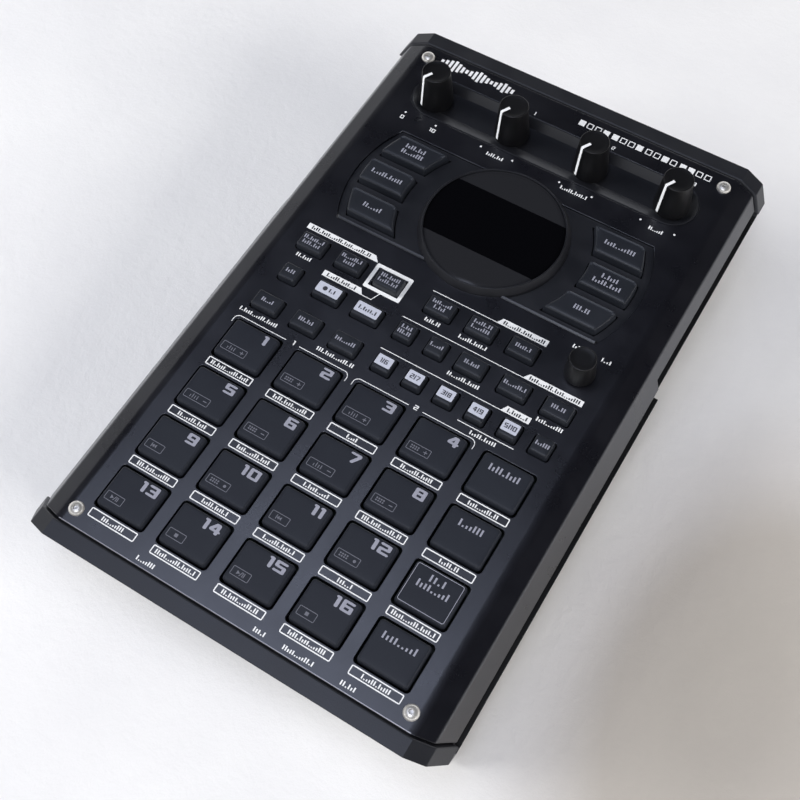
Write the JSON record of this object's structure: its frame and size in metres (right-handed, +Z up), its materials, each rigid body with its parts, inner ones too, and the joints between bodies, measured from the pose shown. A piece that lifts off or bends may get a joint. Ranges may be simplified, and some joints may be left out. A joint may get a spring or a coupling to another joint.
{
  "type": "drum machine",
  "caption": "Desktop drum machine: wedge case with a folded sheet top, numbered pads, function keys, round display, effect keys, tapered knobs and a push-turn value knob.",
  "frame": {"origin": "centre of the footprint on the table, under the feet", "axes": "+X to the player's right, +Y away from the player, +Z up; the panel slopes up to the rear"},
  "size_m": [0.1774, 0.2758, 0.071],
  "materials": {
    "panel": "satin fine-textured black",
    "cap_plastic": "fine-textured black",
    "case_plastic": "textured black",
    "surround_plastic": "satin black",
    "window": "gloss black tinted",
    "display": "gloss black",
    "board": "solder mask",
    "pot_metal": "brushed",
    "socket_plastic": "moulded black",
    "foot_rubber": "matte",
    "screw_steel": "bright nickel",
    "shaft_steel": "turned",
    "pad_silicone": "matte silicone",
    "key_silicone": "matte silicone",
    "knob_plastic": "satin black",
    "door_plastic": "textured black"
  },
  "bodies": {
    "case": {"top_panel": "panel", "front_cap": "cap_plastic", "rear_cap": "cap_plastic", "bottom_case": "case_plastic", "control_surround": "surround_plastic", "display_window": "window", "display_module": "display", "panel_board": "board", "knob_board": "board", "main_board": "board", "control_pots": "pot_metal", "rear_sockets": "socket_plastic", "front_sockets": "socket_plastic", "rubber_feet": "foot_rubber", "panel_screws": "screw_steel", "base_screws": "screw_steel"},
    "knob_1": {"knob_1": "knob_plastic"},
    "knob_2": {"knob_2": "knob_plastic"},
    "knob_3": {"knob_3": "knob_plastic"},
    "knob_4": {"knob_4": "knob_plastic"},
    "value_shaft": {"value_shaft": "shaft_steel"},
    "value_knob": {"value_knob": "knob_plastic"},
    "power_rocker": {"power_rocker": "knob_plastic"},
    "gain_knob": {"gain_knob": "knob_plastic"},
    "input_selector": {"input_selector": "knob_plastic"},
    "battery_door": {"battery_door": "door_plastic"},
    "pad_01": {"pad_01": "pad_silicone"},
    "pad_02": {"pad_02": "pad_silicone"},
    "pad_03": {"pad_03": "pad_silicone"},
    "pad_04": {"pad_04": "pad_silicone"},
    "pad_05": {"pad_05": "pad_silicone"},
    "pad_06": {"pad_06": "pad_silicone"},
    "pad_07": {"pad_07": "pad_silicone"},
    "pad_08": {"pad_08": "pad_silicone"},
    "pad_09": {"pad_09": "pad_silicone"},
    "pad_10": {"pad_10": "pad_silicone"},
    "pad_11": {"pad_11": "pad_silicone"},
    "pad_12": {"pad_12": "pad_silicone"},
    "pad_13": {"pad_13": "pad_silicone"},
    "pad_14": {"pad_14": "pad_silicone"},
    "pad_15": {"pad_15": "pad_silicone"},
    "pad_16": {"pad_16": "pad_silicone"},
    "side_key_1": {"side_key_1": "pad_silicone"},
    "side_key_2": {"side_key_2": "pad_silicone"},
    "side_key_3": {"side_key_3": "pad_silicone"},
    "side_key_4": {"side_key_4": "pad_silicone"},
    "fx_key_1": {"fx_key_1": "key_silicone"},
    "fx_key_2": {"fx_key_2": "key_silicone"},
    "fx_key_3": {"fx_key_3": "key_silicone"},
    "fx_key_4": {"fx_key_4": "key_silicone"},
    "fx_key_5": {"fx_key_5": "key_silicone"},
    "fx_key_6": {"fx_key_6": "key_silicone"},
    "tool_keys": {"tool_keys": "key_silicone"},
    "delete_key": {"delete_key": "key_silicone"},
    "record_keys": {"record_keys": "key_silicone"},
    "pattern_keys": {"pattern_keys": "key_silicone"},
    "edit_keys": {"edit_keys": "key_silicone"},
    "mode_keys": {"mode_keys": "key_silicone"},
    "bank_keys": {"bank_keys": "key_silicone"},
    "shift_key": {"shift_key": "key_silicone"}
  },
  "joints": [
    {"name": "knob_1_turn", "type": "hinge", "parent": "case", "child": "knob_1", "pos_m": [-0.05565, 0.10565, 0.05417], "axis": [0, 0.0785, -0.9969], "range_deg": [0, 300]},
    {"name": "knob_2_turn", "type": "hinge", "parent": "case", "child": "knob_2", "pos_m": [-0.01855, 0.10565, 0.05417], "axis": [0, 0.0785, -0.9969], "range_deg": [0, 300]},
    {"name": "knob_3_turn", "type": "hinge", "parent": "case", "child": "knob_3", "pos_m": [0.01855, 0.10565, 0.05417], "axis": [0, 0.0785, -0.9969], "range_deg": [0, 300]},
    {"name": "knob_4_turn", "type": "hinge", "parent": "case", "child": "knob_4", "pos_m": [0.05565, 0.10565, 0.05417], "axis": [0, 0.0785, -0.9969], "range_deg": [0, 300]},
    {"name": "value_push", "type": "slide", "parent": "case", "child": "value_shaft", "axis": [0, 0.0785, -0.9969], "range_m": [0, 0.0008], "stiffness_N_per_m": 1500, "springref_m": -0.0003},
    {"name": "value_turn", "type": "hinge", "parent": "value_shaft", "child": "value_knob", "pos_m": [0.0596, 0.01682, 0.04718], "axis": [0, 0.0785, -0.9969], "continuous": true},
    {"name": "power_rock", "type": "hinge", "parent": "case", "child": "power_rocker", "pos_m": [0.066, 0.1277, 0.0187], "axis": [0, 0, 1], "range_deg": [0, 14]},
    {"name": "gain_turn", "type": "hinge", "parent": "case", "child": "gain_knob", "pos_m": [0.0118, -0.1239, 0.0135], "axis": [0, 1, 0], "range_deg": [0, 300]},
    {"name": "selector_slide", "type": "slide", "parent": "case", "child": "input_selector", "axis": [1, 0, 0], "range_m": [0, 0.005]},
    {"name": "battery_door_hinge", "type": "hinge", "parent": "case", "child": "battery_door", "pos_m": [0, -0.012, 0.0041], "axis": [1, 0, 0], "range_deg": [0, 95]},
    {"name": "pad_01_press", "type": "slide", "parent": "case", "child": "pad_01", "axis": [0, 0.0785, -0.9969], "range_m": [0, 0.0008], "stiffness_N_per_m": 800, "springref_m": -0.0003},
    {"name": "pad_02_press", "type": "slide", "parent": "case", "child": "pad_02", "axis": [0, 0.0785, -0.9969], "range_m": [0, 0.0008], "stiffness_N_per_m": 800, "springref_m": -0.0003},
    {"name": "pad_03_press", "type": "slide", "parent": "case", "child": "pad_03", "axis": [0, 0.0785, -0.9969], "range_m": [0, 0.0008], "stiffness_N_per_m": 800, "springref_m": -0.0003},
    {"name": "pad_04_press", "type": "slide", "parent": "case", "child": "pad_04", "axis": [0, 0.0785, -0.9969], "range_m": [0, 0.0008], "stiffness_N_per_m": 800, "springref_m": -0.0003},
    {"name": "pad_05_press", "type": "slide", "parent": "case", "child": "pad_05", "axis": [0, 0.0785, -0.9969], "range_m": [0, 0.0008], "stiffness_N_per_m": 800, "springref_m": -0.0003},
    {"name": "pad_06_press", "type": "slide", "parent": "case", "child": "pad_06", "axis": [0, 0.0785, -0.9969], "range_m": [0, 0.0008], "stiffness_N_per_m": 800, "springref_m": -0.0003},
    {"name": "pad_07_press", "type": "slide", "parent": "case", "child": "pad_07", "axis": [0, 0.0785, -0.9969], "range_m": [0, 0.0008], "stiffness_N_per_m": 800, "springref_m": -0.0003},
    {"name": "pad_08_press", "type": "slide", "parent": "case", "child": "pad_08", "axis": [0, 0.0785, -0.9969], "range_m": [0, 0.0008], "stiffness_N_per_m": 800, "springref_m": -0.0003},
    {"name": "pad_09_press", "type": "slide", "parent": "case", "child": "pad_09", "axis": [0, 0.0785, -0.9969], "range_m": [0, 0.0008], "stiffness_N_per_m": 800, "springref_m": -0.0003},
    {"name": "pad_10_press", "type": "slide", "parent": "case", "child": "pad_10", "axis": [0, 0.0785, -0.9969], "range_m": [0, 0.0008], "stiffness_N_per_m": 800, "springref_m": -0.0003},
    {"name": "pad_11_press", "type": "slide", "parent": "case", "child": "pad_11", "axis": [0, 0.0785, -0.9969], "range_m": [0, 0.0008], "stiffness_N_per_m": 800, "springref_m": -0.0003},
    {"name": "pad_12_press", "type": "slide", "parent": "case", "child": "pad_12", "axis": [0, 0.0785, -0.9969], "range_m": [0, 0.0008], "stiffness_N_per_m": 800, "springref_m": -0.0003},
    {"name": "pad_13_press", "type": "slide", "parent": "case", "child": "pad_13", "axis": [0, 0.0785, -0.9969], "range_m": [0, 0.0008], "stiffness_N_per_m": 800, "springref_m": -0.0003},
    {"name": "pad_14_press", "type": "slide", "parent": "case", "child": "pad_14", "axis": [0, 0.0785, -0.9969], "range_m": [0, 0.0008], "stiffness_N_per_m": 800, "springref_m": -0.0003},
    {"name": "pad_15_press", "type": "slide", "parent": "case", "child": "pad_15", "axis": [0, 0.0785, -0.9969], "range_m": [0, 0.0008], "stiffness_N_per_m": 800, "springref_m": -0.0003},
    {"name": "pad_16_press", "type": "slide", "parent": "case", "child": "pad_16", "axis": [0, 0.0785, -0.9969], "range_m": [0, 0.0008], "stiffness_N_per_m": 800, "springref_m": -0.0003},
    {"name": "side_key_1_press", "type": "slide", "parent": "case", "child": "side_key_1", "axis": [0, 0.0785, -0.9969], "range_m": [0, 0.0008], "stiffness_N_per_m": 800, "springref_m": -0.0003},
    {"name": "side_key_2_press", "type": "slide", "parent": "case", "child": "side_key_2", "axis": [0, 0.0785, -0.9969], "range_m": [0, 0.0008], "stiffness_N_per_m": 800, "springref_m": -0.0003},
    {"name": "side_key_3_press", "type": "slide", "parent": "case", "child": "side_key_3", "axis": [0, 0.0785, -0.9969], "range_m": [0, 0.0008], "stiffness_N_per_m": 800, "springref_m": -0.0003},
    {"name": "side_key_4_press", "type": "slide", "parent": "case", "child": "side_key_4", "axis": [0, 0.0785, -0.9969], "range_m": [0, 0.0008], "stiffness_N_per_m": 800, "springref_m": -0.0003},
    {"name": "fx_key_1_press", "type": "slide", "parent": "case", "child": "fx_key_1", "axis": [0, 0.0785, -0.9969], "range_m": [0, 0.0008], "stiffness_N_per_m": 800, "springref_m": -0.0003},
    {"name": "fx_key_2_press", "type": "slide", "parent": "case", "child": "fx_key_2", "axis": [0, 0.0785, -0.9969], "range_m": [0, 0.0008], "stiffness_N_per_m": 800, "springref_m": -0.0003},
    {"name": "fx_key_3_press", "type": "slide", "parent": "case", "child": "fx_key_3", "axis": [0, 0.0785, -0.9969], "range_m": [0, 0.0008], "stiffness_N_per_m": 800, "springref_m": -0.0003},
    {"name": "fx_key_4_press", "type": "slide", "parent": "case", "child": "fx_key_4", "axis": [0, 0.0785, -0.9969], "range_m": [0, 0.0008], "stiffness_N_per_m": 800, "springref_m": -0.0003},
    {"name": "fx_key_5_press", "type": "slide", "parent": "case", "child": "fx_key_5", "axis": [0, 0.0785, -0.9969], "range_m": [0, 0.0008], "stiffness_N_per_m": 800, "springref_m": -0.0003},
    {"name": "fx_key_6_press", "type": "slide", "parent": "case", "child": "fx_key_6", "axis": [0, 0.0785, -0.9969], "range_m": [0, 0.0008], "stiffness_N_per_m": 800, "springref_m": -0.0003},
    {"name": "tool_keys_press", "type": "slide", "parent": "case", "child": "tool_keys", "axis": [0, 0.0785, -0.9969], "range_m": [0, 0.0008], "stiffness_N_per_m": 800, "springref_m": -0.0003},
    {"name": "delete_key_press", "type": "slide", "parent": "case", "child": "delete_key", "axis": [0, 0.0785, -0.9969], "range_m": [0, 0.0008], "stiffness_N_per_m": 800, "springref_m": -0.0003},
    {"name": "record_keys_press", "type": "slide", "parent": "case", "child": "record_keys", "axis": [0, 0.0785, -0.9969], "range_m": [0, 0.0008], "stiffness_N_per_m": 800, "springref_m": -0.0003},
    {"name": "pattern_keys_press", "type": "slide", "parent": "case", "child": "pattern_keys", "axis": [0, 0.0785, -0.9969], "range_m": [0, 0.0008], "stiffness_N_per_m": 800, "springref_m": -0.0003},
    {"name": "edit_keys_press", "type": "slide", "parent": "case", "child": "edit_keys", "axis": [0, 0.0785, -0.9969], "range_m": [0, 0.0008], "stiffness_N_per_m": 800, "springref_m": -0.0003},
    {"name": "mode_keys_press", "type": "slide", "parent": "case", "child": "mode_keys", "axis": [0, 0.0785, -0.9969], "range_m": [0, 0.0008], "stiffness_N_per_m": 800, "springref_m": -0.0003},
    {"name": "bank_keys_press", "type": "slide", "parent": "case", "child": "bank_keys", "axis": [0, 0.0785, -0.9969], "range_m": [0, 0.0008], "stiffness_N_per_m": 800, "springref_m": -0.0003},
    {"name": "shift_key_press", "type": "slide", "parent": "case", "child": "shift_key", "axis": [0, 0.0785, -0.9969], "range_m": [0, 0.0008], "stiffness_N_per_m": 800, "springref_m": -0.0003}
  ]
}
